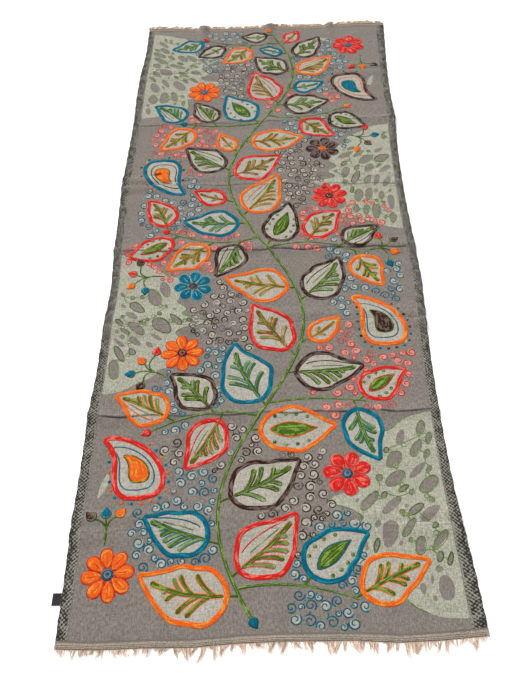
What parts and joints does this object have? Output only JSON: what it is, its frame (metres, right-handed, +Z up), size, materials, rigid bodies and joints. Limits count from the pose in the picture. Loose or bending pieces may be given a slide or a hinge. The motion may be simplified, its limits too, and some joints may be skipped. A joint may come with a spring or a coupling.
{
  "type": "pashmina shawl",
  "caption": "Long rectangular wool shawl laid flat, with dark woven side borders, soft fold creases, embroidered leaves and flowers and a short frayed fringe at both ends.",
  "frame": {"origin": "on the surface it lies on, under the middle of the shawl", "axes": "+X across the width with the side label at -X, +Y along the length with the label near the -Y end, +Z up through the cloth"},
  "size_m": [0.7322, 1.8622, 0.0113],
  "materials": {
    "panel_cloth": "fine soft wool weave, taupe, with pale green jacquard areas and chain-stitched leaves and flowers",
    "border_cloth": "charcoal woven border with pale diagonal lines",
    "fringe_yarn": "beige plain weave and loose frayed wool yarn",
    "label_tape": "black woven tape, blank"
  },
  "bodies": {
    "root": {"woven_panel": "panel_cloth", "border_left": "border_cloth", "border_right": "border_cloth", "heading_fringe_near": "fringe_yarn", "heading_fringe_far": "fringe_yarn", "side_label": "label_tape"}
  },
  "joints": []
}
